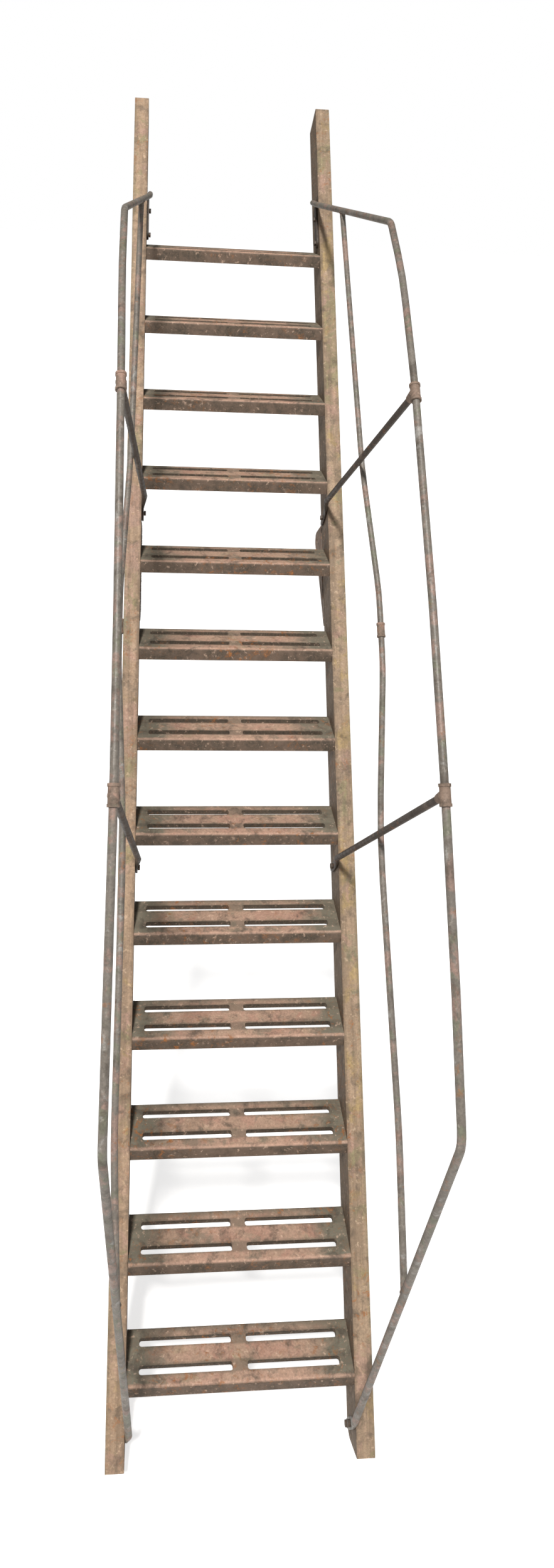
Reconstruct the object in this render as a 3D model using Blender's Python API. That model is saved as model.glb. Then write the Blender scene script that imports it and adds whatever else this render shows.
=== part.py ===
"""Steel ladder stair for reaching high shelving.

Two channel stringers lean at one slope and carry level slotted treads.
A pipe handrail and a lighter mid rail run up each side on struts.
Metres, +Z up, X along the treads, +Y away from the person climbing.
"""
import bpy
import bmesh
from math import cos, pi, radians, sin, tan
from mathutils import Matrix, Vector

for old in list(bpy.data.objects):
    bpy.data.objects.remove(old, do_unlink=True)

# ---------------------------------------------------------------- dimensions
SLOPE = radians(51.0)
GAP = 0.0003                # air between pieces that touch in the real object

CLEAR_WIDTH = 0.490         # between the inner faces of the two webs
TREAD_COUNT = 13
TREAD_PITCH = 0.2280        # nosing to nosing along the slope: a 177 mm rise

CHANNEL_DEPTH = 0.1016      # a 4 in rolled channel
FLANGE_WIDTH = 0.0402
WEB_THICK = 0.0047
FLANGE_TOE = 0.0052
FLANGE_ROOT = 0.0086
ROOT_RADIUS = 0.0060
HEEL_RADIUS = 0.0014
FOOT_LENGTH = 0.155         # stringer below the lowest nosing
HEAD_LENGTH = 0.500         # stringer above the highest nosing
FOOT_CORNER_RADIUS = 0.030

TREAD_DEPTH = 0.1187
TREAD_SHEET = 0.0035
TREAD_BEND = 0.0060
NOSING_DROP = 0.0324
REAR_DROP = 0.0250
NOSING_PROUD = 0.0085       # nosing stands this far in front of the flanges
END_PLATE_DROP = 0.0250
END_PLATE_THICK = 0.0035
SLOT_WIDTH = 0.0175
SLOT_FRONT = 0.0250         # tread front edge to front slot
SLOT_REAR = 0.0800          # tread front edge to rear slot
SLOT_END_MARGIN = 0.0275
SLOT_BRIDGE = 0.0325
SLOT_CORNER = 0.0045
SLOT_LIP = 0.0090           # turned-down lip round each slot
SLOT_LIP_WALL = 0.0026

PIPE_RADIUS = 0.0075
PIPE_BORE = 0.0057
PIPE_BORE_DEPTH = 0.0600
STRUT_RADIUS = 0.0070
MID_RADIUS = 0.0068
FLAT_THICK = 0.0055
FLAT_WIDTH = 0.0230
TOP_BEND_RADIUS = 0.061
FOOT_BEND_RADIUS = 0.057

# stations of the rails: outboard of the web face, along the slope, off the nosing line
RAIL_TOP_END = (-0.0082, 2.950, -0.054)
RAIL_TOP_CLEAR = (-0.0082, 2.888, 0.019)
RAIL_TOP_BEND = (0.0400, 2.412, 0.593)
RAIL_UPPER_MID = (0.0394, 2.234, 0.662)
TEE_UPPER = (0.0341, 1.942, 0.723)
RAIL_BOW = (0.0289, 1.511, 0.774)
TEE_LOWER = (0.0275, 1.179, 0.788)
RAIL_LOWER_MID = (0.0305, 0.866, 0.775)
RAIL_FOOT_BEND = (0.0330, 0.642, 0.754)
RAIL_FOOT_CLEAR = (-0.0083, -0.074, 0.0210)
RAIL_FOOT_END = (-0.131, -0.0945)

STRUT_UPPER_FOOT = 1.993
STRUT_LOWER_FOOT = 1.083
STRUT_CLEAR = (-0.0078, 0.0175)
STRUT_END_DROP = 0.026
STRUT_END_DEPTH = -0.0875

MID_TOP = 0.2500            # how far off the nosing line the mid rail meets the top leg
MID_UPPER_CROSS = 0.3020
MID_COUPLING = (0.0385, 1.564, 0.3560)
MID_LOWER_CROSS = 0.3400
MID_LOWER_BEND = (0.0255, 0.569, 0.3800)
MID_FOOT = 0.4150

TEE_OUTER = 0.0097
TEE_LENGTH = 0.0380
TEE_NECK_LENGTH = 0.0210
TEE_NECK_OUTER = 0.0089
TEE_RIM = 0.0012
COUPLING_OUTER = 0.0086
COUPLING_LENGTH = 0.0320
COUPLING_RIM = 0.0009

BRACKET_LENGTH = 0.131
BRACKET_WIDTH = 0.026
BRACKET_THICK = 0.0055
BRACKET_BOLT_PITCH = 0.078
BRACKET_SETBACK = 0.0060

LUG_LENGTH = 0.290
LUG_REACH = 0.105
LUG_THICK = 0.0080
LUG_EYE_RADIUS = 0.026
LUG_PIN_RADIUS = 0.0075
LUG_TOP = 1.980
LUG_OUTBOARD = 0.0046

BOLT_RADIUS = 0.0040
BOLT_HEAD_RADIUS = 0.0075
BOLT_HEAD_HEIGHT = 0.0053
NUT_HEIGHT = 0.0065
BOLT_TAIL = 0.0035
BOLT_CHAMFER = 0.0007

SIDES = (("left", -1.0), ("right", 1.0))
FRONT = -NOSING_PROUD       # front face of the flanges, off the nosing line
REAR = FRONT - CHANNEL_DEPTH

ALONG = Vector((0.0, cos(SLOPE), sin(SLOPE)))
OUT = Vector((0.0, -sin(SLOPE), cos(SLOPE)))

# ---------------------------------------------------------------- collections
scene = bpy.context.scene
part = bpy.data.collections.new("library_ladder")
scene.collection.children.link(part)
cutting = bpy.data.collections.new("cutters")
scene.collection.children.link(cutting)

COATS = {
    "stringer_paint": ((0.47, 0.34, 0.24), 0.62),
    "tread_paint": ((0.30, 0.21, 0.17), 0.70),
    "rail_paint": ((0.29, 0.25, 0.20), 0.60),
    "fitting_iron": ((0.17, 0.13, 0.10), 0.66),
    "bolt_steel": ((0.11, 0.08, 0.06), 0.58),
}


def coat(obj, kind):
    """Give one piece its own paint."""
    colour, rough = COATS[kind]
    mat = bpy.data.materials.new(obj.name + "_" + kind)
    mat.use_nodes = True
    shader = mat.node_tree.nodes["Principled BSDF"]
    shader.inputs["Base Color"].default_value = (*colour, 1.0)
    shader.inputs["Roughness"].default_value = rough
    shader.inputs["Metallic"].default_value = 0.35
    obj.data.materials.clear()
    obj.data.materials.append(mat)


def at(x, s, n):
    """World point from a place across, up the slope and off the nosing line."""
    return Vector((x, 0.0, 0.0)) + ALONG * s + OUT * n


def beside(side, place):
    """World point from an outboard offset, slope distance and stand-off."""
    outboard, s, n = place
    return at(side * (CLEAR_WIDTH / 2.0 + outboard), s, n)


def frame(x_axis, y_axis, origin):
    """Placement whose local axes point the given ways."""
    xa = x_axis.normalized()
    za = xa.cross(y_axis).normalized()
    ya = za.cross(xa)
    out = Matrix((xa, ya, za)).transposed().to_4x4()
    out.translation = origin
    return out


def add(name, mesh, kind=None):
    """Put a mesh in the scene as a part piece or, with no paint, as a cutter."""
    obj = bpy.data.objects.new(name, mesh)
    if kind:
        part.objects.link(obj)
        coat(obj, kind)
    else:
        cutting.objects.link(obj)
        obj.hide_render = True
        obj.display_type = "WIRE"
    return obj


def tidy(mesh, whole_caps=False):
    """Weld doubled points, turn faces outward and leave each flat cap in one piece."""
    work = bmesh.new()
    work.from_mesh(mesh)
    bmesh.ops.remove_doubles(work, verts=work.verts, dist=0.000002)
    if whole_caps:
        bmesh.ops.dissolve_limit(work, angle_limit=0.001, verts=work.verts, edges=work.edges)
    bmesh.ops.recalc_face_normals(work, faces=work.faces)
    work.to_mesh(mesh)
    work.free()


def prism(name, outline, half, placement, kind=None):
    """Flat outline given thickness both ways from its plane."""
    line = bpy.data.curves.new(name + "_outline", "CURVE")
    line.dimensions = "2D"
    line.fill_mode = "BOTH"
    line.extrude = half
    spline = line.splines.new("POLY")
    spline.points.add(len(outline) - 1)
    for point, (px, py) in zip(spline.points, outline):
        point.co = (px, py, 0.0, 1.0)
    spline.use_cyclic_u = True
    holder = bpy.data.objects.new(name + "_outline", line)
    scene.collection.objects.link(holder)
    bpy.context.view_layer.update()
    graph = bpy.context.evaluated_depsgraph_get()
    mesh = bpy.data.meshes.new_from_object(holder.evaluated_get(graph))
    bpy.data.objects.remove(holder, do_unlink=True)
    mesh.name = name
    mesh.transform(placement)
    tidy(mesh, whole_caps=True)
    return add(name, mesh, kind)


def rod(name, start, end, radius, sides=20, kind=None, end_radius=None, turn=0.0):
    """Straight round bar or cone between two points."""
    work = bmesh.new()
    bmesh.ops.create_cone(work, cap_ends=True, segments=sides, radius1=radius,
                          radius2=radius if end_radius is None else end_radius,
                          depth=(end - start).length)
    mesh = bpy.data.meshes.new(name)
    work.to_mesh(mesh)
    work.free()
    axis = (end - start).normalized()
    lean = axis.to_track_quat("Z", "Y").to_matrix().to_4x4()
    spin = Matrix.Rotation(turn, 4, "Z")
    mesh.transform(Matrix.Translation((start + end) / 2.0) @ lean @ spin)
    return add(name, mesh, kind)


def turned(name, centre, axis, profile, sides, kind):
    """Sleeve turned about an axis from a closed profile of (distance, radius)."""
    one = axis.orthogonal().normalized()
    two = axis.cross(one)
    work = bmesh.new()
    rings = []
    for distance, radius in profile:
        ring = []
        for k in range(sides):
            a = 2.0 * pi * k / sides
            spot = centre + axis * distance + (one * cos(a) + two * sin(a)) * radius
            ring.append(work.verts.new(spot))
        rings.append(ring)
    for here, there in zip(rings, rings[1:] + rings[:1]):
        for k in range(sides):
            j = (k + 1) % sides
            work.faces.new((here[k], here[j], there[j], there[k]))
    mesh = bpy.data.meshes.new(name)
    work.to_mesh(mesh)
    work.free()
    tidy(mesh)
    return add(name, mesh, kind)


def combine(obj, tool, operation):
    """Join or cut one piece with a hidden tool."""
    step = obj.modifiers.new(operation.lower() + "_" + tool.name, "BOOLEAN")
    step.operation = operation
    step.solver = "EXACT"
    step.object = tool


def arc(centre, radius, start, stop, steps):
    """Points round part of a circle."""
    out = []
    for k in range(steps + 1):
        a = start + (stop - start) * k / steps
        out.append((centre[0] + radius * cos(a), centre[1] + radius * sin(a)))
    return out


def rounded_box(x0, x1, y0, y1, radius, steps=4):
    """Rectangle outline with round corners."""
    r = radius
    out = arc((x1 - r, y1 - r), r, 0.0, pi / 2, steps)
    out += arc((x0 + r, y1 - r), r, pi / 2, pi, steps)
    out += arc((x0 + r, y0 + r), r, pi, 1.5 * pi, steps)
    out += arc((x1 - r, y0 + r), r, 1.5 * pi, 2 * pi, steps)
    return out


def bent(points, radii, steps=6):
    """Centre line through the points with each corner turned to its radius."""
    out = [points[0].copy()]
    for k in range(1, len(points) - 1):
        here = points[k]
        back = (points[k - 1] - here).normalized()
        ahead = (points[k + 1] - here).normalized()
        opening = back.angle(ahead)
        if pi - opening < 0.01:
            out.append(here.copy())
            continue
        reach = radii[k] / tan(opening / 2.0)
        first = here + back * reach
        last = here + ahead * reach
        middle = here + (back + ahead).normalized() * (radii[k] / sin(opening / 2.0))
        from_first = first - middle
        axis = from_first.cross(last - middle).normalized()
        sweep = from_first.angle(last - middle)
        count = max(2, int(steps * sweep / (pi / 2) + 0.999))
        for j in range(count + 1):
            turn = Matrix.Rotation(sweep * j / count, 3, axis)
            out.append(middle + turn @ from_first)
    out.append(points[-1].copy())
    return out


def pipe(name, centre_line, radius, kind):
    """Round bar along a centre line."""
    line = bpy.data.curves.new(name, "CURVE")
    line.dimensions = "3D"
    line.bevel_depth = radius
    line.bevel_resolution = 3
    line.use_fill_caps = True
    spline = line.splines.new("POLY")
    spline.points.add(len(centre_line) - 1)
    for point, place in zip(spline.points, centre_line):
        point.co = (*place, 1.0)
    holder = bpy.data.objects.new(name + "_line", line)
    scene.collection.objects.link(holder)
    bpy.context.view_layer.update()
    graph = bpy.context.evaluated_depsgraph_get()
    mesh = bpy.data.meshes.new_from_object(holder.evaluated_get(graph))
    bpy.data.objects.remove(holder, do_unlink=True)
    mesh.name = name
    tidy(mesh)
    return add(name, mesh, kind)


def flattened(name, centre_line, radius, side, flat_points, kind):
    """Pipe whose end is pressed flat against the web.

    The pressed end is lofted by hand, round section to rounded strap.
    flat_points gives (place, how flat 0-1, end taper 0-1) for the pressed stretch.
    """
    stations = [(p, 0.0, 1.0) for p in centre_line] + flat_points
    rings = []
    count = 16
    work = bmesh.new()
    for k, (place, flat, taper) in enumerate(stations):
        ahead = stations[min(k + 1, len(stations) - 1)][0]
        behind = stations[max(k - 1, 0)][0]
        tangent = (ahead - behind).normalized()
        across = Vector((side, 0.0, 0.0))
        across = (across - tangent * across.dot(tangent)).normalized()
        other = tangent.cross(across)
        thin = radius * (1.0 - flat) + FLAT_THICK / 2.0 * flat
        wide = (radius * (1.0 - flat) + FLAT_WIDTH / 2.0 * flat) * taper
        power = 1.0 - 0.55 * flat
        ring = []
        for j in range(count):
            a = 2.0 * pi * (j + 0.5) / count
            c = cos(a)
            d = sin(a)
            u = thin * (abs(c) ** power) * (1.0 if c > 0 else -1.0)
            v = wide * (abs(d) ** power) * (1.0 if d > 0 else -1.0)
            ring.append(work.verts.new(place + across * u + other * v))
        rings.append(ring)
    for low, high in zip(rings, rings[1:]):
        for j in range(count):
            work.faces.new((low[j], low[(j + 1) % count], high[(j + 1) % count], high[j]))
    work.faces.new(rings[0])
    work.faces.new(rings[-1])
    bmesh.ops.recalc_face_normals(work, faces=work.faces)
    mesh = bpy.data.meshes.new(name)
    work.to_mesh(mesh)
    work.free()
    return add(name, mesh, kind)


def pressed_end(side, start, s_end, n_end, radius):
    """Places along a pressed end: down from the pipe, then flat on the web."""
    rest = -(FLAT_THICK / 2.0 + GAP)
    out = []
    first = Vector((start[1], start[2]))
    last = Vector((s_end, n_end))
    marks = ((0.16, 0.30, 1.0), (0.30, 0.70, 1.0), (0.42, 1.0, 1.0), (0.74, 1.0, 1.0),
             (0.86, 1.0, 0.93), (0.94, 1.0, 0.74), (1.0, 1.0, 0.42))
    for t, flat, taper in marks:
        spot = first.lerp(last, t)
        outboard = -(radius + GAP) * (1.0 - flat) + rest * flat
        outboard = min(outboard, start[0] * (1.0 - flat) + rest * flat)
        out.append((beside(side, (outboard, spot[0], spot[1])), flat, taper))
    return out


def bolt(name, side, s, n, grip_in, grip_out, holed):
    """Hex bolt with nut, through the web and what lies on its inner face."""
    inner = -(grip_in + GAP)
    outer = grip_out + GAP
    flat = BOLT_HEAD_RADIUS * cos(pi / 6.0)
    hexagon = [BOLT_HEAD_RADIUS, flat] * 6
    eased = [flat * 0.95] * 12
    shank = [BOLT_RADIUS] * 12
    stations = [(inner - BOLT_HEAD_HEIGHT, eased),
                (inner - BOLT_HEAD_HEIGHT + BOLT_CHAMFER, hexagon),
                (inner, hexagon), (inner, shank), (outer, shank), (outer, hexagon),
                (outer + NUT_HEIGHT - BOLT_CHAMFER, hexagon), (outer + NUT_HEIGHT, eased),
                (outer + NUT_HEIGHT, shank), (outer + NUT_HEIGHT + BOLT_TAIL, shank)]
    turn = 0.31 * (1.0 + s)
    work = bmesh.new()
    rings = []
    for outboard, radii in stations:
        ring = []
        for k, r in enumerate(radii):
            a = turn + k * pi / 6.0
            ring.append(work.verts.new(beside(side, (outboard, s + r * cos(a), n + r * sin(a)))))
        rings.append(ring)
    for one, two in zip(rings, rings[1:]):
        for k in range(12):
            j = (k + 1) % 12
            work.faces.new((one[k], one[j], two[j], two[k]))
    work.faces.new(rings[0])
    work.faces.new(rings[-1])
    mesh = bpy.data.meshes.new(name)
    work.to_mesh(mesh)
    work.free()
    tidy(mesh)
    add(name, mesh, "bolt_steel")
    reach = 0.02
    drill = rod(name + "_hole", beside(side, (-grip_in - reach, s, n)),
                beside(side, (grip_out + reach, s, n)), BOLT_RADIUS + GAP, 12)
    for target in holed:
        combine(target, drill, "DIFFERENCE")


# ---------------------------------------------------------------- stringers
def channel_outline():
    """Section across the stringer: outboard distance and stand-off."""
    f = FRONT
    b = REAR
    w = WEB_THICK
    r = ROOT_RADIUS
    h = HEEL_RADIUS
    toe = 0.0022
    out = arc((h, f - h), h, pi, pi / 2, 2)
    out += arc((FLANGE_WIDTH - toe / 2, f - toe / 2), toe / 2, pi / 2, 0.0, 2)
    out += arc((FLANGE_WIDTH - toe, f - FLANGE_TOE + toe), toe, 0.0, -pi / 2, 3)
    out += arc((w + r, f - FLANGE_ROOT - r), r, pi / 2, pi, 3)
    out += arc((w + r, b + FLANGE_ROOT + r), r, pi, 1.5 * pi, 3)
    out += arc((FLANGE_WIDTH - toe, b + FLANGE_TOE - toe), toe, pi / 2, 0.0, 3)
    out += arc((FLANGE_WIDTH - toe / 2, b + toe / 2), toe / 2, 0.0, -pi / 2, 2)
    out += arc((h, b + h), h, -pi / 2, -pi, 2)
    return out


FOOT_END = -FOOT_LENGTH
HEAD_END = (TREAD_COUNT - 1) * TREAD_PITCH + HEAD_LENGTH
stringers = {}
for label, side in SIDES:
    section = [(side * (CLEAR_WIDTH / 2.0 + x), n) for x, n in channel_outline()]
    centre = ALONG * ((FOOT_END + HEAD_END) / 2.0)
    placed = frame(Vector((1.0, 0.0, 0.0)), OUT, centre)
    stringer = prism(label + "_stringer", section, (HEAD_END - FOOT_END) / 2.0, placed,
                     "stringer_paint")
    r = FOOT_CORNER_RADIUS
    corner = arc((FOOT_END + r, REAR + r), r, pi, 1.5 * pi, 6)
    corner += [(FOOT_END + r, REAR - 0.02), (FOOT_END - 0.02, REAR - 0.02),
               (FOOT_END - 0.02, REAR + r)]
    middle = side * (CLEAR_WIDTH / 2.0 + FLANGE_WIDTH / 2.0)
    clip = prism(label + "_foot_clip", corner, FLANGE_WIDTH,
                 frame(ALONG, OUT, Vector((middle, 0.0, 0.0))))
    combine(stringer, clip, "DIFFERENCE")
    stringers[label] = stringer


# ---------------------------------------------------------------- treads
def tread_outline():
    """Folded sheet section: depth back from the nosing and height."""
    t = TREAD_SHEET
    r = TREAD_BEND
    d = TREAD_DEPTH
    out = [(0.0, -NOSING_DROP)]
    out += arc((r, -r), r, pi, pi / 2, 3)
    out += arc((d - r, -r), r, pi / 2, 0.0, 3)
    out += [(d, -REAR_DROP), (d - t, -REAR_DROP)]
    out += arc((d - r, -r), r - t, 0.0, pi / 2, 2)
    out += arc((r, -r), r - t, pi / 2, pi, 2)
    out += [(t, -NOSING_DROP)]
    return out


TREAD_LONG = CLEAR_WIDTH - 2.0 * GAP
for number in range(TREAD_COUNT):
    name = "tread_%02d" % (number + 1)
    nose = at(0.0, number * TREAD_PITCH, 0.0)
    lying = frame(Vector((0.0, 1.0, 0.0)), Vector((0.0, 0.0, 1.0)), nose)
    flat = frame(Vector((1.0, 0.0, 0.0)), Vector((0.0, 1.0, 0.0)), nose)
    tread = prism(name, tread_outline(), TREAD_LONG / 2.0, lying, "tread_paint")
    for label, side in SIDES:
        inset = 0.0012
        plate = [(inset, -TREAD_SHEET / 2.0), (TREAD_DEPTH - inset, -TREAD_SHEET / 2.0),
                 (TREAD_DEPTH - inset, -END_PLATE_DROP), (inset, -END_PLATE_DROP)]
        x = side * (TREAD_LONG - END_PLATE_THICK) / 2.0
        end_plate = prism(name + "_end_" + label, plate, END_PLATE_THICK / 2.0,
                          Matrix.Translation((x, 0.0, 0.0)) @ lying)
        combine(tread, end_plate, "UNION")
    near = SLOT_BRIDGE / 2.0
    far = CLEAR_WIDTH / 2.0 - SLOT_END_MARGIN
    for row, start in (("front", SLOT_FRONT), ("rear", SLOT_REAR)):
        for label, side in SIDES:
            x0 = min(side * near, side * far)
            x1 = max(side * near, side * far)
            wall = SLOT_LIP_WALL
            ring = rounded_box(x0 - wall, x1 + wall, start - wall, start + SLOT_WIDTH + wall,
                               SLOT_CORNER + wall, 2)
            drop = (SLOT_LIP + TREAD_SHEET / 2.0) / 2.0
            lip = prism("%s_lip_%s_%s" % (name, row, label), ring, drop,
                        flat @ Matrix.Translation((0.0, 0.0, -TREAD_SHEET / 2.0 - drop)))
            combine(tread, lip, "UNION")
    for row, start in (("front", SLOT_FRONT), ("rear", SLOT_REAR)):
        for label, side in SIDES:
            x0 = min(side * near, side * far)
            x1 = max(side * near, side * far)
            hole = rounded_box(x0, x1, start, start + SLOT_WIDTH, SLOT_CORNER, 2)
            slot = prism("%s_slot_%s_%s" % (name, row, label), hole, 0.03, flat)
            combine(tread, slot, "DIFFERENCE")


# ---------------------------------------------------------------- rails
def tee(name, side, centre, along_rail, toward_strut):
    """Malleable tee: collar on the rail, tapered neck for the strut."""
    half = along_rail * (TEE_LENGTH / 2.0)
    collar = rod(name, centre - half, centre + half, TEE_OUTER, 18, "fitting_iron")
    bead = along_rail * 0.0052
    for tag, sign in (("a", -1.0), ("b", 1.0)):
        rim = rod(name + "_rim_" + tag, centre + half * sign,
                  centre + half * sign - bead * sign, TEE_OUTER + TEE_RIM, 18)
        combine(collar, rim, "UNION")
    tip = centre + toward_strut * (TEE_OUTER + TEE_NECK_LENGTH)
    neck = rod(name + "_neck", centre + toward_strut * 0.002, tip, TEE_OUTER + TEE_RIM, 18,
               end_radius=TEE_NECK_OUTER)
    combine(collar, neck, "UNION")
    rail_bore = rod(name + "_rail_bore", centre - half * 1.4, centre + half * 1.4,
                    PIPE_RADIUS + GAP, 18)
    combine(collar, rail_bore, "DIFFERENCE")
    strut_bore = rod(name + "_strut_bore", centre + toward_strut * (PIPE_RADIUS + 0.0045),
                     tip + toward_strut * 0.01, STRUT_RADIUS + GAP, 18)
    combine(collar, strut_bore, "DIFFERENCE")
    return collar


for label, side in SIDES:
    stringer = stringers[label]
    top_end = beside(side, RAIL_TOP_END)
    top_clear = beside(side, RAIL_TOP_CLEAR)
    top_bend = beside(side, RAIL_TOP_BEND)
    upper_mid = beside(side, RAIL_UPPER_MID)
    tee_upper = beside(side, TEE_UPPER)
    bow = beside(side, RAIL_BOW)
    tee_lower = beside(side, TEE_LOWER)
    lower_mid = beside(side, RAIL_LOWER_MID)
    foot_bend = beside(side, RAIL_FOOT_BEND)
    foot_clear = beside(side, RAIL_FOOT_CLEAR)

    run_upper = (bow - upper_mid).normalized()
    run_lower = (lower_mid - bow).normalized()
    sleeve = 0.040
    seam = 0.0008

    # handrail, in three lengths meeting inside the tees
    line = bent([top_end, top_clear, top_bend, upper_mid, tee_upper - run_upper * sleeve,
                 tee_upper - run_upper * seam],
                [0.0, 0.15, TOP_BEND_RADIUS, 0.9, 0.5, 0.0], 7)
    rail_upper = pipe(label + "_rail_upper", line, PIPE_RADIUS, "rail_paint")
    inward = (line[1] - line[0]).normalized()
    bore = rod(label + "_pipe_bore", line[0] - inward * 0.01,
               line[0] + inward * PIPE_BORE_DEPTH, PIPE_BORE, 14)
    combine(rail_upper, bore, "DIFFERENCE")

    line = bent([tee_upper + run_upper * seam, tee_upper + run_upper * sleeve, bow,
                 tee_lower - run_lower * sleeve, tee_lower - run_lower * seam],
                [0.0, 0.5, 1.4, 0.5, 0.0], 16)
    pipe(label + "_rail_middle", line, PIPE_RADIUS, "rail_paint")

    line = bent([tee_lower + run_lower * seam, tee_lower + run_lower * sleeve, lower_mid,
                 foot_bend, foot_clear],
                [0.0, 0.5, 0.9, FOOT_BEND_RADIUS, 0.0], 7)
    foot_s, foot_n = RAIL_FOOT_END
    rail_lower = flattened(label + "_rail_lower", line, PIPE_RADIUS, side,
                           pressed_end(side, RAIL_FOOT_CLEAR, foot_s, foot_n, PIPE_RADIUS),
                           "rail_paint")
    for tag, t in (("a", 0.56), ("b", 0.84)):
        s = RAIL_FOOT_CLEAR[1] + (foot_s - RAIL_FOOT_CLEAR[1]) * t
        n = RAIL_FOOT_CLEAR[2] + (foot_n - RAIL_FOOT_CLEAR[2]) * t
        bolt("%s_foot_bolt_%s" % (label, tag), side, s, n, FLAT_THICK + GAP, WEB_THICK,
             (stringer, rail_lower))

    # struts from the web up into the tees
    struts = {}
    for tag, place, foot_at, run in (("upper", TEE_UPPER, STRUT_UPPER_FOOT, run_upper),
                                     ("lower", TEE_LOWER, STRUT_LOWER_FOOT, run_lower)):
        head = beside(side, place)
        clear = (STRUT_CLEAR[0], foot_at, STRUT_CLEAR[1])
        foot = beside(side, clear)
        toward = (foot - head).normalized()
        start = head + toward * (PIPE_RADIUS + 0.0055)
        line = bent([start, foot - toward * 0.05, foot], [0.0, 0.0, 0.0])
        strut = flattened("%s_strut_%s" % (label, tag), line, STRUT_RADIUS, side,
                          pressed_end(side, clear, foot_at - STRUT_END_DROP, STRUT_END_DEPTH,
                                      STRUT_RADIUS),
                          "rail_paint")
        s = foot_at - STRUT_END_DROP * 0.72
        n = STRUT_CLEAR[1] + (STRUT_END_DEPTH - STRUT_CLEAR[1]) * 0.72
        bolt("%s_strut_bolt_%s" % (label, tag), side, s, n, FLAT_THICK + GAP, WEB_THICK,
             (stringer, strut))
        tee("%s_tee_%s" % (label, tag), side, head, run, toward)
        struts[tag] = (head, foot)

    # mid rail, in two lengths with a coupling
    def on_line(a, b, stand_off):
        """Point between two places at a stand-off from the nosing line."""
        na = a.dot(OUT)
        nb = b.dot(OUT)
        return a.lerp(b, (stand_off - na) / (nb - na))

    outward = Vector((side, 0.0, 0.0))
    beside_strut = outward * (STRUT_RADIUS + MID_RADIUS + GAP + 0.0004)
    start = on_line(top_clear, top_bend, MID_TOP)
    cross_upper = on_line(struts["upper"][1], struts["upper"][0], MID_UPPER_CROSS) + beside_strut
    cross_lower = on_line(struts["lower"][1], struts["lower"][0], MID_LOWER_CROSS) + beside_strut
    coupling = beside(side, MID_COUPLING)
    lower_bend = beside(side, MID_LOWER_BEND)
    end = on_line(foot_clear, foot_bend, MID_FOOT)
    tilt = (cross_lower - cross_upper).normalized()
    first_dir = (cross_upper - start).normalized()
    last_dir = (lower_bend - end).normalized()
    leg_top = (top_bend - top_clear).normalized()
    leg_low = (foot_bend - foot_clear).normalized()

    def clear_of(leg, run):
        """Distance along the mid rail that clears a leg pipe it butts on."""
        slant = leg.cross(run).length
        lean = abs(leg.dot(run))
        return (PIPE_RADIUS + GAP) / slant + MID_RADIUS * lean / slant

    line = bent([start + first_dir * clear_of(leg_top, first_dir), cross_upper,
                 coupling - tilt * 0.085, coupling - tilt * seam], [0.0, 1.2, 0.6, 0.0], 14)
    pipe(label + "_mid_rail_upper", line, MID_RADIUS, "rail_paint")
    line = bent([coupling + tilt * seam, coupling + tilt * 0.085, cross_lower, lower_bend,
                 end + last_dir * clear_of(leg_low, last_dir)], [0.0, 0.6, 1.2, 1.2, 0.0], 14)
    pipe(label + "_mid_rail_lower", line, MID_RADIUS, "rail_paint")
    half = COUPLING_LENGTH / 2.0
    rim = COUPLING_OUTER + COUPLING_RIM
    bore = MID_RADIUS + GAP
    sleeve_profile = [(-half, bore), (-half, rim - 0.0004), (-half + 0.0004, rim),
                      (-half + 0.0042, rim), (-half + 0.0052, COUPLING_OUTER),
                      (half - 0.0052, COUPLING_OUTER), (half - 0.0042, rim),
                      (half - 0.0004, rim), (half, rim - 0.0004), (half, bore)]
    turned(label + "_mid_coupling", coupling, tilt, sleeve_profile, 18, "fitting_iron")

    # strap under the top leg, bolted to the web
    leg = RAIL_TOP_END[1] + (RAIL_TOP_CLEAR[1] - RAIL_TOP_END[1]) * 0.35
    leg_n = RAIL_TOP_END[2] + (RAIL_TOP_CLEAR[2] - RAIL_TOP_END[2]) * 0.35
    across = Vector((RAIL_TOP_CLEAR[1] - RAIL_TOP_END[1], RAIL_TOP_CLEAR[2] - RAIL_TOP_END[2]))
    across.normalize()
    strap_top = leg - (PIPE_RADIUS + GAP) / across.y
    x_mid = -(GAP + BRACKET_THICK / 2.0)
    strap_n = leg_n - BRACKET_SETBACK
    half_w = BRACKET_WIDTH / 2.0
    tilt_cut = half_w * across.x / across.y
    outline = [(strap_top + tilt_cut, half_w + strap_n), (strap_top - tilt_cut, strap_n - half_w)]
    low = strap_top - BRACKET_LENGTH
    outline += arc((low + half_w, strap_n), half_w, -pi / 2, -1.5 * pi, 10)
    strap_at = Vector((side * (CLEAR_WIDTH / 2.0 + x_mid), 0.0, 0.0))
    strap = prism(label + "_top_bracket", outline, BRACKET_THICK / 2.0,
                  frame(ALONG, OUT, strap_at), "fitting_iron")
    for tag, s in (("a", low + half_w), ("b", low + half_w + BRACKET_BOLT_PITCH)):
        bolt("%s_bracket_bolt_%s" % (label, tag), side, s, strap_n, BRACKET_THICK + GAP,
             WEB_THICK, (stringer, strap))

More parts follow.
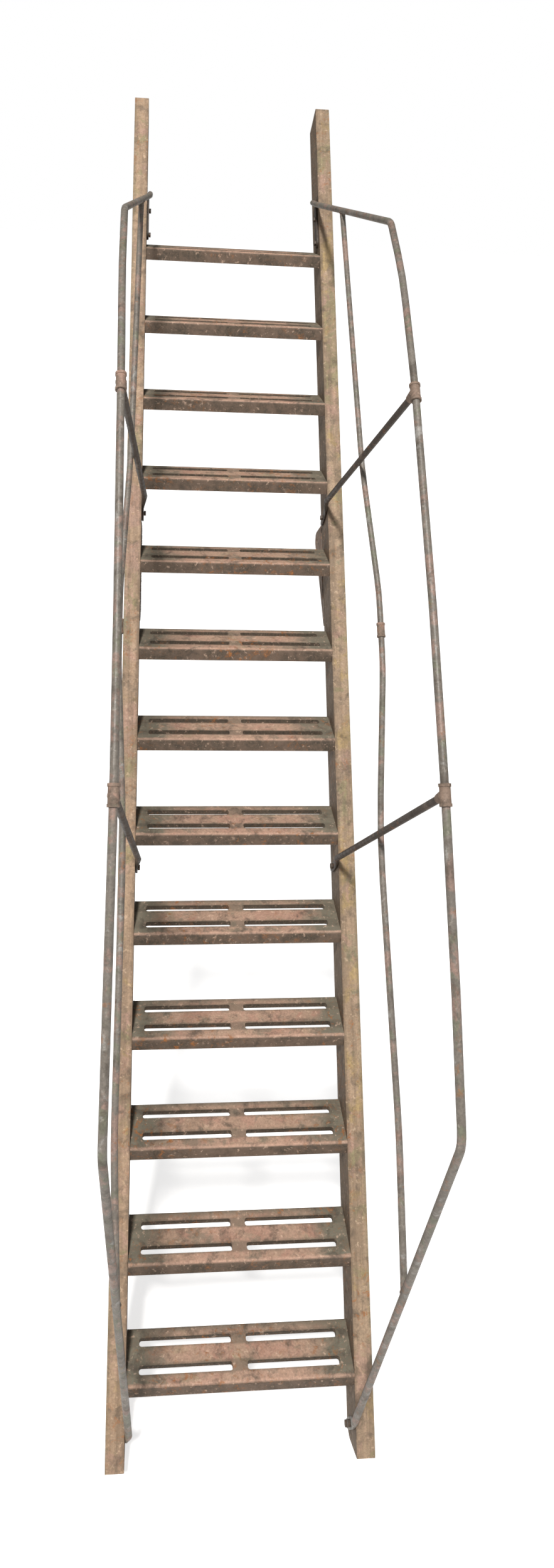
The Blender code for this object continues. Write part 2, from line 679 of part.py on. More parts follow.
    # lug plate standing on the back of the rear flange, with a pin eye
    eye_s = LUG_TOP - LUG_EYE_RADIUS
    eye_n = REAR - LUG_REACH + LUG_EYE_RADIUS
    outline = [(LUG_TOP - 0.006, REAR - GAP)]
    outline += arc((eye_s, eye_n), LUG_EYE_RADIUS, 0.0, -0.78 * pi, 12)
    outline += [(LUG_TOP - LUG_LENGTH, REAR - GAP - 0.012), (LUG_TOP - LUG_LENGTH, REAR - GAP)]
    lug_at = Vector((side * (CLEAR_WIDTH / 2.0 + LUG_OUTBOARD), 0.0, 0.0))
    lug = prism(label + "_rear_lug", outline, LUG_THICK / 2.0, frame(ALONG, OUT, lug_at),
                "fitting_iron")
    pin = rod(label + "_lug_pin_hole", lug_at + at(-0.03, eye_s, eye_n),
              lug_at + at(0.03, eye_s, eye_n), LUG_PIN_RADIUS, 18)
    combine(lug, pin, "DIFFERENCE")

# ---------------------------------------------------------------- stand it on its feet
bpy.context.view_layer.update()
graph = bpy.context.evaluated_depsgraph_get()
low = Vector((1e9, 1e9, 1e9))
high = -low
for obj in part.objects:
    shape = obj.evaluated_get(graph)
    for vert in shape.data.vertices:
        for axis in range(3):
            low[axis] = min(low[axis], vert.co[axis])
            high[axis] = max(high[axis], vert.co[axis])
shift = Vector((-(low.x + high.x) / 2.0, -(low.y + high.y) / 2.0, -low.z))
for obj in list(part.objects) + list(cutting.objects):
    obj.data.transform(Matrix.Translation(shift))
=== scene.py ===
"""Looks for the steel ladder stair: weathered paint, rust, bolts, welds, light and camera."""
from math import cos, pi, radians, sin

import bmesh
import bpy
from mathutils import Matrix, Vector, noise


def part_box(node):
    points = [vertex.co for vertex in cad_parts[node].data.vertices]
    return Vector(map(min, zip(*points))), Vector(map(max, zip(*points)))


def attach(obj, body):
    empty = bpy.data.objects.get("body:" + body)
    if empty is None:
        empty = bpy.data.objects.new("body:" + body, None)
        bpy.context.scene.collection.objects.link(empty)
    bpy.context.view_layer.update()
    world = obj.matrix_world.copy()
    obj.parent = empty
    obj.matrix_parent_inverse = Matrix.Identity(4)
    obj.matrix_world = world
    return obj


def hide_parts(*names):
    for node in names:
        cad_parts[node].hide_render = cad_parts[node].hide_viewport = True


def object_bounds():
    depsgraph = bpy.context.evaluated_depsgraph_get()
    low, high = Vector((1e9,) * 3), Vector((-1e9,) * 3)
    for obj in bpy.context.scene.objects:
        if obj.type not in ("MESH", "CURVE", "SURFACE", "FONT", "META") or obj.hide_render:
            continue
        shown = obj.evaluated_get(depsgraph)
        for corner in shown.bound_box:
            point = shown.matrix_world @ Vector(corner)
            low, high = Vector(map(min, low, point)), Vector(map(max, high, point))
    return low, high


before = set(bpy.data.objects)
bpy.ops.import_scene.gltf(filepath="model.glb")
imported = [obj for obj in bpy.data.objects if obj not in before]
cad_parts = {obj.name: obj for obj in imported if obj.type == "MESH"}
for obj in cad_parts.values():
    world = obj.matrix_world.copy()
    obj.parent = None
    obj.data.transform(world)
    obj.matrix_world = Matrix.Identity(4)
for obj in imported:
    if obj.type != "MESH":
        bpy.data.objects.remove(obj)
cad_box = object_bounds()

# ---------------------------------------------------------------- the object's own axes
SLOPE = radians(51.0)
ALONG = Vector((0.0, cos(SLOPE), sin(SLOPE)))
OUT = Vector((0.0, -sin(SLOPE), cos(SLOPE)))
SIDES = (("left", -1.0), ("right", 1.0))
TREADS = sorted(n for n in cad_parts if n.startswith("tread_"))
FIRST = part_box(TREADS[0])
NOSE = Vector((0.0, FIRST[0][1], FIRST[1][2]))
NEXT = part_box(TREADS[1])
STEP = Vector((0.0, NEXT[0][1] - FIRST[0][1], NEXT[1][2] - FIRST[1][2]))

# ---------------------------------------------------------------- sizes shared with the CAD
HALF_CLEAR = 0.245          # middle of the treads to the inner face of a web
WEB = 0.0047
PLATE_GAP = 0.0003          # air between a tread's end plate and the web
PLATE = 0.0035
SLOT_ROWS = (0.025, 0.080)  # nosing to the front edge of each row of slots
HALF_SLOT = 0.00875
REAR_FACE = -0.1101         # back of the rear flange, out from the nosing line
LUG_TOP = 1.980
MID_RADIUS = 0.0068
LEG_RADIUS = 0.0075
# the handrail's two legs as (outboard, along, out) from the nosing line
TOP_LEG = ((-0.0082, 2.888, 0.019), (0.0400, 2.412, 0.593))
LOW_LEG = ((-0.0083, -0.074, 0.021), (0.0330, 0.642, 0.754))

# ---------------------------------------------------------------- sizes drawn here only
BOLT_BACK = (0.034, 0.086)  # nosing to each tread bolt
BOLT_DROP = 0.0165
BOLT_ACROSS = 0.0130
HEAD_TALL = 0.0060
NUT_TALL = 0.0065
THREAD_RADIUS = 0.0036
SEAT = 0.0002               # how far a bolt stands off its steel
LUG_WELD_SPAN = (0.012, 0.286)
LUG_WELD_RADIUS = 0.0022
COPE_SIDES = 40
COPE_OVERLAP = 0.004        # how far a cope runs back over its mid rail
COPE_SINK = 0.0008          # and on into the leg
COPE_WELD_RADIUS = 0.0019

scene = bpy.context.scene


# ---------------------------------------------------------------- node helpers
class Nodes:
    """Short hand for wiring one material."""

    def __init__(self, name):
        self.mat = bpy.data.materials.new(name)
        self.mat.use_nodes = True
        self.tree = self.mat.node_tree
        self.shader = self.tree.nodes["Principled BSDF"]
        self.place = self.add("ShaderNodeTexCoord").outputs["Object"]

    def add(self, kind, **settings):
        node = self.tree.nodes.new(kind)
        for key, value in settings.items():
            setattr(node, key, value)
        return node

    def put(self, socket, value):
        if isinstance(value, bpy.types.NodeSocket):
            self.tree.links.new(value, socket)
        else:
            socket.default_value = value

    def mapped(self, scale=(1, 1, 1), turn=(0, 0, 0), shift=(0, 0, 0)):
        node = self.add("ShaderNodeMapping")
        self.put(node.inputs["Vector"], self.place)
        node.inputs["Scale"].default_value = scale
        node.inputs["Rotation"].default_value = turn
        node.inputs["Location"].default_value = shift
        return node.outputs["Vector"]

    def noise(self, scale, detail=4.0, rough=0.55, where=None, warp=0.0):
        node = self.add("ShaderNodeTexNoise")
        self.put(node.inputs["Vector"], where or self.place)
        node.inputs["Scale"].default_value = scale
        node.inputs["Detail"].default_value = detail
        node.inputs["Roughness"].default_value = rough
        node.inputs["Distortion"].default_value = warp
        return node.outputs["Fac"]

    def ramp(self, value, low, high, out_low=0.0, out_high=1.0):
        node = self.add("ShaderNodeMapRange", clamp=True)
        self.put(node.inputs["Value"], value)
        node.inputs["From Min"].default_value = low
        node.inputs["From Max"].default_value = high
        node.inputs["To Min"].default_value = out_low
        node.inputs["To Max"].default_value = out_high
        return node.outputs["Result"]

    def math(self, operation, a, b=0.0):
        node = self.add("ShaderNodeMath", operation=operation, use_clamp=False)
        self.put(node.inputs[0], a)
        self.put(node.inputs[1], b)
        return node.outputs["Value"]

    def mix(self, factor, a, b, blend="MIX"):
        node = self.add("ShaderNodeMix", data_type="RGBA", blend_type=blend)
        self.put(node.inputs["Factor"], factor)
        self.put(node.inputs["A"], (*a, 1.0) if isinstance(a, tuple) else a)
        self.put(node.inputs["B"], (*b, 1.0) if isinstance(b, tuple) else b)
        return node.outputs["Result"]

    def bump(self, height, strength, distance, under=None):
        node = self.add("ShaderNodeBump")
        node.inputs["Strength"].default_value = strength
        node.inputs["Distance"].default_value = distance
        self.put(node.inputs["Height"], height)
        if under is not None:
            self.put(node.inputs["Normal"], under)
        return node.outputs["Normal"]


def paint(name, base, patches, rust=0.5, grime=0.5, streak=0.5, coarse=5.0, rough=0.72,
          wear_and_shade=None, flange=False):
    """Old paint over steel: patches of other coats, rust, dirt and run marks; the tread and flange
    options add painted shade on some faces.
    """
    n = Nodes(name)
    colour = n.mix(n.ramp(n.noise(coarse, 3.0, 0.6), 0.40, 0.62), base,
                   tuple(c * 0.84 for c in base))
    for k, (tint, level) in enumerate(patches):
        where = n.mapped(shift=(3.7 * (k + 1), 1.9 * k, 2.3 * k))
        wide = n.noise(coarse * (1.5 + 0.45 * k), 5.0, 0.66, where, 0.6)
        colour = n.mix(n.ramp(wide, level, level + 0.07, 0.0, 0.85), colour, tint)
    if wear_and_shade:
        colour = tread_wear_and_shade(n, colour, *wear_and_shade)
    if flange:
        colour = flange_dirt_and_shade(n, colour, base)
    long_marks = n.add("ShaderNodeMapping")
    n.put(long_marks.inputs["Vector"], n.mapped(turn=(-SLOPE, 0, 0)))
    long_marks.inputs["Scale"].default_value = (85.0, 4.0, 85.0)
    run = n.noise(1.0, 5.0, 0.65, long_marks.outputs["Vector"])
    colour = n.mix(n.ramp(run, 0.46, 0.66, 0.0, 0.75 * streak), colour,
                   tuple(c * 0.45 for c in base))
    colour = n.mix(n.ramp(run, 0.46, 0.32, 0.0, 0.30 * streak), colour,
                   tuple(c * 1.30 + 0.02 for c in base))
    fine = n.noise(210.0, 6.0, 0.75)
    colour = n.mix(n.ramp(fine, 0.42, 0.62, 0.0, 0.50), colour, tuple(c * 0.42 for c in base))
    chips = n.noise(95.0, 5.0, 0.7, n.mapped(shift=(5.5, 6.6, 7.7)), 0.3)
    colour = n.mix(n.ramp(chips, 0.41, 0.35, 0.0, 0.45), colour,
                   tuple(c * 1.45 + 0.06 for c in base))
    blots = n.noise(30.0, 6.0, 0.7, None, 0.4)
    colour = n.mix(n.ramp(blots, 0.51, 0.66, 0.0, 0.80 * grime), colour, (0.065, 0.052, 0.040))
    spots = n.noise(58.0, 7.0, 0.75, n.mapped(shift=(9.1, 4.2, 7.7)), 0.5)
    area = n.noise(6.0, 3.0, 0.6, n.mapped(shift=(2.2, 8.4, 1.1)))
    rusty = n.math("MULTIPLY", n.ramp(spots, 0.55, 0.64), n.ramp(area, 0.46, 0.62))
    rusty = n.math("MULTIPLY", rusty, rust)
    tone = n.mix(n.noise(150.0, 4.0, 0.7), (0.150, 0.050, 0.020), (0.480, 0.200, 0.060))
    colour = n.mix(rusty, colour, tone)
    n.put(n.shader.inputs["Base Color"], colour)
    n.shader.inputs["Metallic"].default_value = 0.0
    n.put(n.shader.inputs["Roughness"],
          n.ramp(n.noise(60.0, 4.0, 0.6), 0.3, 0.7, rough - 0.14, rough + 0.14))
    n.shader.inputs["Specular IOR Level"].default_value = 0.4
    pits = n.bump(fine, 0.45, 0.0007)
    flakes = n.bump(rusty, 0.55, 0.0008, pits)
    n.put(n.shader.inputs["Normal"], n.bump(blots, 0.30, 0.0014, flakes))
    return n.mat


def flange_dirt_and_shade(n, colour, base):
    """Along both edges of a stringer's flanges: at the web edge a dark band, grime and painted
    shade together; at the outer edge old green paint. Sideways faces, the webs above all, go dark
    brown: grime and painted shade.
    """
    split = n.add("ShaderNodeSeparateXYZ")
    n.put(split.inputs["Vector"], n.place)
    across = n.math("SUBTRACT", n.math("ABSOLUTE", split.outputs["X"]), HALF_CLEAR)
    ragged = n.noise(26.0, 6.0, 0.75, n.mapped(shift=(3.3, 1.4, 5.1)), 0.5)
    wander = n.math("MULTIPLY", n.math("SUBTRACT", ragged, 0.5), 0.030)
    from_web = n.math("ADD", across, wander)
    # Dark band on the web's inner face and the flange edge beside it: grime and painted shade.
    colour = n.mix(n.ramp(from_web, 0.0080, 0.0020, 0.0, 0.75), colour,
                   tuple(c * 0.42 for c in base))
    colour = n.mix(n.ramp(from_web, 0.0330, 0.0400, 0.0, 0.60), colour, (0.190, 0.165, 0.095))
    # Faces that look sideways, the webs above all, go dark brown: grime and painted shade.
    facing = n.add("ShaderNodeSeparateXYZ")
    n.put(facing.inputs["Vector"], n.add("ShaderNodeNewGeometry").outputs["Normal"])
    sideways_shade = n.ramp(n.math("ABSOLUTE", facing.outputs["X"]), 0.75, 0.95)
    kept = n.ramp(ragged, 0.38, 0.66, 0.92, 0.55)
    return n.mix(n.math("MULTIPLY", sideways_shade, kept), colour, (0.120, 0.088, 0.062))


def tread_wear_and_shade(n, colour, scuffed, kept, front):
    """Bare, scuffed middle; old paint left near the ends, darkened further as painted shade where
    the treads meet the webs; dark nosing face, partly dark paint and partly painted shade.
    """
    split = n.add("ShaderNodeSeparateXYZ")
    n.put(split.inputs["Vector"], n.place)
    facing = n.add("ShaderNodeSeparateXYZ")
    n.put(facing.inputs["Vector"], n.add("ShaderNodeNewGeometry").outputs["Normal"])
    across = n.math("ABSOLUTE", split.outputs["X"])
    ragged = n.noise(14.0, 6.0, 0.75, n.mapped(shift=(1.3, 0.4, 6.1)), 0.5)
    reach = n.math("ADD", across, n.math("MULTIPLY", ragged, 0.22))
    # The ends take the kept colour: old grey-green paint, darkened further as painted shade where
    # the treads meet the webs.
    ends_paint_and_shade = n.ramp(reach, 0.255, 0.315)
    colour = n.mix(n.ramp(ragged, 0.38, 0.60, 0.0, 0.75), colour, scuffed)
    colour = n.mix(ends_paint_and_shade, colour, kept)
    patch = n.noise(18.0, 5.0, 0.7, n.mapped(shift=(7.7, 2.8, 0.9)), 0.4)
    colour = n.mix(n.ramp(patch, 0.54, 0.62, 0.0, 0.6), colour, kept)
    depth = n.math("SUBTRACT", split.outputs["Y"], NOSE.y)
    depth = n.math("FLOORED_MODULO", depth, STEP.y)
    for start in SLOT_ROWS:
        away = n.math("ABSOLUTE", n.math("SUBTRACT", depth, start + HALF_SLOT))
        away = n.math("ADD", away, n.math("MULTIPLY", ragged, 0.012))
        near = n.ramp(away, 0.0150, 0.0205, 0.60, 0.0)
        colour = n.mix(near, colour, tuple(c * 0.62 for c in kept))
    colour = n.mix(n.ramp(depth, 0.0985, 0.112, 0.0, 0.75), colour, tuple(c * 0.80 for c in kept))
    lip = n.ramp(n.math("ADD", depth, n.math("MULTIPLY", patch, 0.012)), 0.0115, 0.0150, 0.65, 0.0)
    colour = n.mix(lip, colour, tuple(c * 1.12 for c in scuffed))
    # Faces that look forward or back (the nosing and the rear drop) take the very dark front
    # colour: partly dark paint, partly painted shade.
    ahead = n.ramp(n.math("ABSOLUTE", facing.outputs["Y"]), 0.55, 0.90)
    return n.mix(n.math("MULTIPLY", ahead, n.ramp(patch, 0.35, 0.62, 1.0, 0.78)), colour, front)


TAN = (0.400, 0.275, 0.180)
PINK = (0.410, 0.255, 0.195)
OCHRE = (0.395, 0.280, 0.120)
OLIVE = (0.250, 0.225, 0.115)
MOSS = (0.205, 0.195, 0.120)

coats = {
    "left_stringer": paint("paint_left_stringer", TAN,
                           [(PINK, 0.51), (OLIVE, 0.55), (OCHRE, 0.59), (MOSS, 0.62)],
                           0.6, 0.7, 0.9, flange=True),
    "right_stringer": paint("paint_right_stringer", (0.385, 0.272, 0.180),
                            [(OCHRE, 0.54), (PINK, 0.55), (OLIVE, 0.57), (MOSS, 0.62)],
                            0.9, 0.7, 0.9, flange=True),
    "tread": paint("paint_tread", (0.430, 0.290, 0.205),
                   [((0.380, 0.205, 0.150), 0.51), ((0.330, 0.270, 0.170), 0.57)],
                   1.0, 0.9, 0.15, 9.0, 0.78,
                   # scuffed, kept and front colours: the kept colour at the ends and the very dark
                   # front colour both hold painted shade
                   ((0.500, 0.310, 0.230), (0.165, 0.155, 0.115), (0.050, 0.042, 0.030))),
    # The pale grey patch colour on the rails is a painted highlight: the grey of the rails' bright
    # highlights, laid in as patches.
    "rail": paint("paint_rail", (0.210, 0.185, 0.158),
                  [((0.320, 0.210, 0.170), 0.52), ((0.175, 0.180, 0.125), 0.55),
                   ((0.330, 0.320, 0.300), 0.59)], 0.6, 0.8, 0.25, 11.0, 0.46),
    # Struts and brackets: a very dark brown that holds painted shade, as dark as the struts look
    # in shade.
    "strut": paint("paint_strut", (0.055, 0.040, 0.030),
                   [((0.150, 0.108, 0.080), 0.57), ((0.050, 0.043, 0.032), 0.56)],
                   0.6, 0.7, 0.2, 12.0, 0.52),
    "fitting": paint("iron_fitting", (0.260, 0.185, 0.140),
                     [((0.380, 0.240, 0.185), 0.53), ((0.150, 0.130, 0.095), 0.56)],
                     0.9, 0.9, 0.1, 14.0),
    "bolt": paint("iron_bolt", (0.090, 0.066, 0.050), [((0.180, 0.095, 0.055), 0.53)],
                  1.0, 0.5, 0.0, 30.0, 0.58),
    "weld": paint("weld_bead", (0.150, 0.120, 0.100), [((0.230, 0.120, 0.070), 0.52)],
                  1.0, 0.6, 0.0, 30.0, 0.60),
}


def coat_for(node):
    """Which paint a CAD node wears."""
    if node in coats:
        return coats[node]
    if node.startswith("tread"):
        return coats["tread"]
    if "bolt" in node:
        return coats["bolt"]
    if "strut" in node or "bracket" in node:
        return coats["strut"]
    if any(word in node for word in ("tee", "coupling", "lug")):
        return coats["fitting"]
    return coats["rail"]


SLOT_OF = {"stringer": "stringer", "tread": "tread", "bolt": "bolt", "tee": "fitting",
           "coupling": "fitting", "bracket": "fitting", "lug": "fitting"}


def slot_for(node):
    """The record's slot for a CAD node."""
    if "bolt" in node:
        return "bolt"
    for word, slot in SLOT_OF.items():
        if word in node:
            return slot
    return "rail"


EDGE = {"stringer": 0.0012, "tread": 0.0006, "bolt": 0.0005, "fitting": 0.0008, "rail": 0.0005}


def refined(node):
    """A finer copy of one CAD node, with eased edges and smooth round faces."""
    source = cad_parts[node]
    work = bmesh.new()
    work.from_mesh(source.data)
    bmesh.ops.remove_doubles(work, verts=work.verts, dist=0.00002)
    bmesh.ops.dissolve_limit(work, angle_limit=radians(0.6), verts=work.verts,
                             edges=work.edges)
    mesh = bpy.data.meshes.new(node + "_look")
    work.to_mesh(mesh)
    work.free()
    obj = bpy.data.objects.new(node + "_look", mesh)
    scene.collection.objects.link(obj)
    for poly in mesh.polygons:
        poly.use_smooth = True
    mesh.materials.append(coat_for(node))
    slot = slot_for(node)
    ease = obj.modifiers.new("eased", "BEVEL")
    ease.width = EDGE[slot]
    ease.segments = 2
    ease.limit_method = "ANGLE"
    ease.angle_limit = radians(38.0)
    ease.use_clamp_overlap = True
    ease.harden_normals = False
    split = obj.modifiers.new("weighted", "WEIGHTED_NORMAL")
    split.keep_sharp = True
    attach(obj, "root")
    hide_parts(node)


for node in sorted(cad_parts):
    refined(node)


# ---------------------------------------------------------------- small parts
def at(x, s, n):
    """Point from distances across, along the slope and out from the nosing line."""
    return NOSE + Vector((x, 0.0, 0.0)) + ALONG * s + OUT * n


def ring_stack(work, centre, axis, rings, sides, turn=0.0, uneven=0.0, seed=0):
    """Closed turned shape from (distance along, radius, corner radius) rings."""
    axis = axis.normalized()
    one = axis.orthogonal().normalized()
    two = axis.cross(one)
    made = []
    for distance, radius, corner in rings:
        ring = []
        for k in range(sides):
            a = turn + 2.0 * pi * k / sides
            r = radius if k % 2 else corner
            if uneven:
                r += uneven * noise.noise(Vector((cos(a) * 2.0, sin(a) * 2.0, seed * 1.7)))
            spot = centre + axis * distance + (one * cos(a) + two * sin(a)) * r
            ring.append(work.verts.new(spot))
        made.append(ring)
    for low_ring, high_ring in zip(made, made[1:]):
        for k in range(sides):
            j = (k + 1) % sides
            work.faces.new((low_ring[k], low_ring[j], high_ring[j], high_ring[k]))
    work.faces.new(tuple(reversed(made[0])))
    work.faces.new(tuple(made[-1]))


def extra(name, work, coat, smooth=False):
    """Add a drawn-only piece that rides on the object."""
    bmesh.ops.recalc_face_normals(work, faces=work.faces)
    mesh = bpy.data.meshes.new(name)
    work.to_mesh(mesh)
    work.free()
    obj = bpy.data.objects.new(name, mesh)
    scene.collection.objects.link(obj)
    mesh.materials.append(coats[coat])
    for poly in mesh.polygons:
        poly.use_smooth = smooth
    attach(obj, "root")


def hexagon(work, foot, axis, across, height, turn):
    """Hexagon head or nut with a washer face and an eased top."""
    corner = across / 2.0 / cos(pi / 6.0)
    side = across / 2.0
    rings = [(0.0, side * 1.28, side * 1.28), (0.0009, side * 1.28, side * 1.28),
             (0.0009, side, corner), (height - 0.0008, side, corner),
             (height, side * 0.93, side * 0.93)]
    ring_stack(work, foot, axis, rings, 12, turn)


for label, side in SIDES:
    heads = bmesh.new()
    nuts = bmesh.new()
    web_face = side * (HALF_CLEAR + WEB + SEAT)
    plate_face = side * (HALF_CLEAR - PLATE_GAP - PLATE - SEAT)
    for k in range(len(TREADS)):
        for j, back in enumerate(BOLT_BACK):
            spot = NOSE + STEP * k + Vector((0.0, back, -BOLT_DROP))
            turn = 0.7 * k + 1.3 * j
            hexagon(heads, Vector((web_face, spot.y, spot.z)), Vector((side, 0.0, 0.0)),
                    BOLT_ACROSS, HEAD_TALL, turn)
            hexagon(nuts, Vector((plate_face, spot.y, spot.z)), Vector((-side, 0.0, 0.0)),
                    BOLT_ACROSS, NUT_TALL, turn * 1.7)
            ring_stack(nuts, Vector((plate_face - side * (NUT_TALL + SEAT), spot.y, spot.z)),
                       Vector((-side, 0.0, 0.0)),
                       [(0.0, THREAD_RADIUS, THREAD_RADIUS),
                        (0.0028, THREAD_RADIUS, THREAD_RADIUS),
                        (0.0034, 0.0030, 0.0030)], 12)
    extra(label + "_tread_bolt_heads", heads, "bolt")
    extra(label + "_tread_bolt_nuts", nuts, "bolt")


def bead(work, start, end, radius, seed, sides=8, pitch=0.0035):
    """Weld bead: a run of overlapping ripples between two points."""
    way = (end - start).normalized()
    length = (end - start).length
    count = max(4, int(length / pitch))
    rings = []
    for k in range(count + 1):
        t = k / count
        swell = 1.0 + 0.16 * (k % 2) + 0.25 * noise.noise(Vector((seed, k * 0.45, 0.3)))
        taper = min(1.0, 0.45 + 6.0 * min(t, 1.0 - t))
        rings.append((length * t, radius * swell * taper, radius * swell * taper))
    ring_stack(work, start, way, rings, sides)


for label, side in SIDES:
    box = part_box(label + "_rear_lug")
    inner = min(abs(box[0][0]), abs(box[1][0]))
    outer = max(abs(box[0][0]), abs(box[1][0]))
    welds = bmesh.new()
    for k, x in enumerate((inner - 0.0004, outer + 0.0004)):
        rear = REAR_FACE - 0.0006
        start, end = [at(side * x, LUG_TOP - drop, rear) for drop in LUG_WELD_SPAN]
        bead(welds, start, end, LUG_WELD_RADIUS, 1.0 + k + side)
    extra(label + "_lug_weld", welds, "weld", True)


def pipe_end(node, way):
    """Centre and outward direction of the flat end of a pipe that faces a given way."""
    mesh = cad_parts[node].data
    flat = [p for p in mesh.polygons if p.normal.dot(way) > 0.9]
    run = Vector()
    used = set()
    for poly in flat:
        run += poly.normal * poly.area
        used.update(poly.vertices)
    middle = Vector()
    for index in used:
        middle += mesh.vertices[index].co / len(used)
    return middle, run.normalized()


def saddle(end, run, leg_a, leg_b, sides):
    """Curve where the mid rail's surface, carried on, meets the leg it butts on."""
    leg = (leg_b - leg_a).normalized()
    one = run.orthogonal().normalized()
    two = run.cross(one)
    foot_ring = []
    curve = []
    for k in range(sides):
        a = 2.0 * pi * k / sides
        foot = end + (one * cos(a) + two * sin(a)) * MID_RADIUS
        best = foot
        nearest = 1.0
        for step in range(150):
            spot = foot + run * (step * 0.0002)
            gap = (spot - leg_a).cross(leg).length - LEG_RADIUS
            if gap < nearest:
                nearest = gap
                best = spot
            if gap <= 0.0:
                break
        foot_ring.append(foot)
        curve.append(best)
    return foot_ring, curve


def loop_skin(work, rings, closed):
    """Skin rings of equal length; a closed skin joins the last ring to the first."""
    made = [[work.verts.new(spot) for spot in ring] for ring in rings]
    count = len(made[0])
    pairs = list(zip(made, made[1:]))
    if closed:
        pairs.append((made[-1], made[0]))
    else:
        work.faces.new(made[0])
        work.faces.new(made[-1])
    for here, there in pairs:
        for k in range(count):
            j = (k + 1) % count
            work.faces.new((here[k], here[j], there[j], there[k]))


for label, side in SIDES:
    for tag, node, way, leg in (("top", "_mid_rail_upper", ALONG, TOP_LEG),
                                ("foot", "_mid_rail_lower", -ALONG, LOW_LEG)):
        leg_a, leg_b = [at(side * (HALF_CLEAR + o), s, n) for o, s, n in leg]
        end, run = pipe_end(label + node, way)
        foot_ring, curve = saddle(end, run, leg_a, leg_b, COPE_SIDES)
        coped = bmesh.new()
        swell = [end + (spot - end) * 1.015 for spot in foot_ring]
        loop_skin(coped, [[spot - run * COPE_OVERLAP for spot in swell], swell,
                          [spot + run * COPE_SINK for spot in curve]], False)
        extra("%s_mid_%s_cope" % (label, tag), coped, "rail", True)
        ripple = bmesh.new()
        rings = []
        for k, spot in enumerate(curve):
            tangent = (curve[(k + 1) % COPE_SIDES] - curve[k - 1]).normalized()
            outward = spot - end
            outward = (outward - run * outward.dot(run)).normalized()
            third = tangent.cross(outward).normalized()
            r = COPE_WELD_RADIUS * (1.0 + 0.20 * (k % 2) + 0.3 * noise.noise(spot * 300.0))
            rings.append([spot + (outward * cos(pi * j / 4.0) + third * sin(pi * j / 4.0)) * r
                          for j in range(8)])
        loop_skin(ripple, rings, True)
        extra("%s_mid_%s_weld" % (label, tag), ripple, "weld", True)


# ---------------------------------------------------------------- stage
def floor_material():
    """Pale floor: white round the object apart from its soft shadow, white far away."""
    mat = bpy.data.materials.new("floor_pale")
    mat.use_nodes = True
    tree = mat.node_tree
    shader = tree.nodes["Principled BSDF"]
    shader.inputs["Base Color"].default_value = (0.84, 0.84, 0.84, 1.0)
    shader.inputs["Roughness"].default_value = 0.95
    shader.inputs["Specular IOR Level"].default_value = 0.0
    shader.inputs["Emission Color"].default_value = (1.0, 1.0, 1.0, 1.0)
    place = tree.nodes.new("ShaderNodeTexCoord")
    span = tree.nodes.new("ShaderNodeVectorMath")
    span.operation = "LENGTH"
    tree.links.new(place.outputs["Object"], span.inputs[0])
    far = tree.nodes.new("ShaderNodeMapRange")
    far.inputs["From Min"].default_value = 3.5
    far.inputs["From Max"].default_value = 8.0
    far.inputs["To Min"].default_value = 0.64
    far.inputs["To Max"].default_value = 1.0
    tree.links.new(span.outputs["Value"], far.inputs["Value"])
    rays = tree.nodes.new("ShaderNodeLightPath")
    glow = tree.nodes.new("ShaderNodeMath")
    glow.operation = "MULTIPLY"
    tree.links.new(rays.outputs["Is Camera Ray"], glow.inputs[0])
    tree.links.new(far.outputs["Result"], glow.inputs[1])
    tree.links.new(glow.outputs["Value"], shader.inputs["Emission Strength"])
    return mat


bpy.ops.mesh.primitive_plane_add(size=80.0, location=(0.0, 0.0, cad_box[0][2] - 0.0005))
floor = bpy.context.object
floor.name = "floor"
floor.data.materials.append(floor_material())

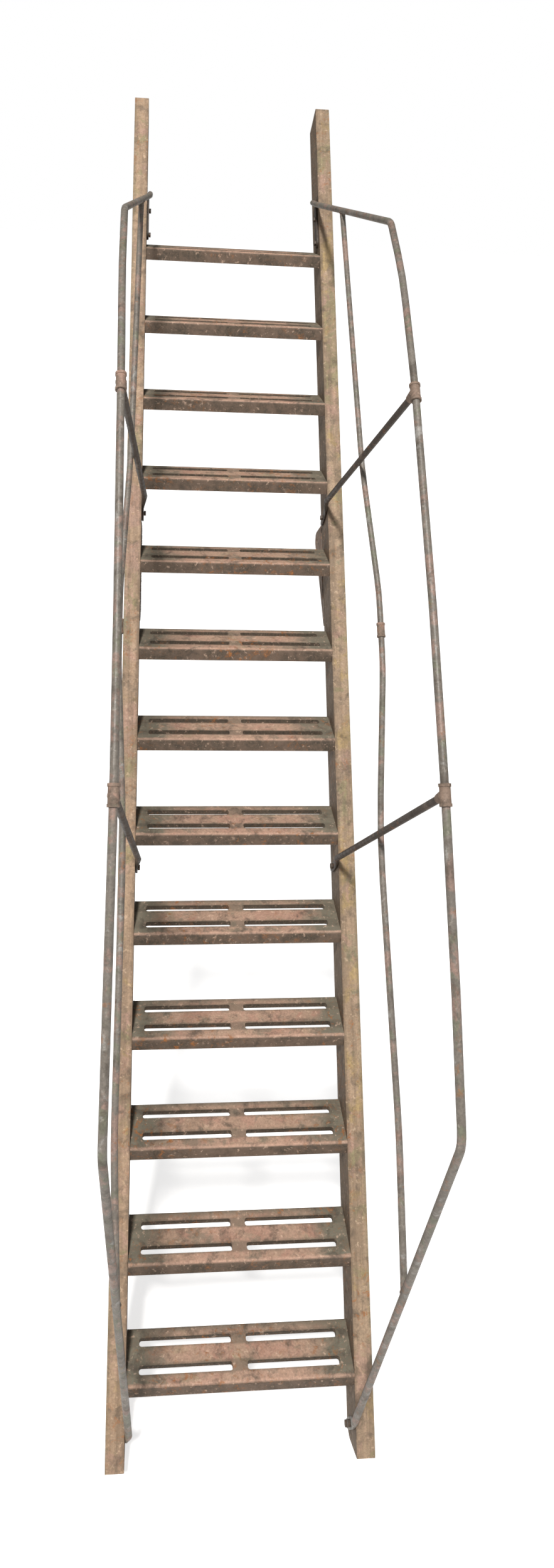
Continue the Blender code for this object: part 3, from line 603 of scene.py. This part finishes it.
world = bpy.data.worlds.new("studio")
scene.world = world
world.use_nodes = True
tree = world.node_tree
back = tree.nodes["Background"]
back.inputs["Color"].default_value = (1.0, 1.0, 1.0, 1.0)
rays = tree.nodes.new("ShaderNodeLightPath")
level = tree.nodes.new("ShaderNodeMapRange")
level.inputs["To Min"].default_value = 0.20
level.inputs["To Max"].default_value = 1.0
tree.links.new(rays.outputs["Is Camera Ray"], level.inputs["Value"])
tree.links.new(level.outputs["Result"], back.inputs["Strength"])


def lamp(name, way, distance, size, strength, tint=(1.0, 1.0, 1.0)):
    """Soft square light, aimed at the object; strength 1 lights a facing surface fully."""
    data = bpy.data.lights.new(name, "AREA")
    data.shape = "SQUARE"
    data.size = size
    data.energy = strength * pi * pi * distance * distance
    data.color = tint
    obj = bpy.data.objects.new(name, data)
    scene.collection.objects.link(obj)
    way = Vector(way).normalized()
    obj.location = Vector((0.0, 0.0, 1.3)) + way * distance
    obj.rotation_euler = (-way).to_track_quat("-Z", "Y").to_euler()


lamp("key", (-0.19, -0.55, 1.0), 22.0, 2.6, 1.24, (1.0, 0.975, 0.94))
lamp("fill", (0.75, -0.60, 0.35), 7.0, 3.0, 0.08, (0.93, 0.96, 1.0))

# ---------------------------------------------------------------- camera
CAM_PLACE = NOSE + Vector((-0.2184, -1.1715, 2.3261))
CAM_DOWN = radians(24.99)
CAM_TURN = radians(-5.68)
CAM_ROLL = radians(3.29)
LENS = 22.24368             # millimetres, for a 36 mm sensor

turned = Vector((-sin(CAM_TURN), cos(CAM_TURN), 0.0))
right = Vector((cos(CAM_TURN), sin(CAM_TURN), 0.0))
ahead = turned * cos(CAM_DOWN) - Vector((0.0, 0.0, 1.0)) * sin(CAM_DOWN)
up = turned * sin(CAM_DOWN) + Vector((0.0, 0.0, 1.0)) * cos(CAM_DOWN)
view_right = right * cos(CAM_ROLL) + up * sin(CAM_ROLL)
view_up = up * cos(CAM_ROLL) - right * sin(CAM_ROLL)
cam_data = bpy.data.cameras.new("camera")
cam_data.sensor_fit = "AUTO"
cam_data.sensor_width = 36.0
cam_data.lens = LENS
cam_data.shift_x = 0.0253
cam_data.shift_y = -0.1012
cam_data.clip_end = 200.0
camera = bpy.data.objects.new("camera", cam_data)
scene.collection.objects.link(camera)
pose = Matrix((view_right, view_up, -ahead)).transposed().to_4x4()
pose.translation = CAM_PLACE
camera.matrix_world = pose
scene.camera = camera

scene.view_settings.view_transform = "Standard"
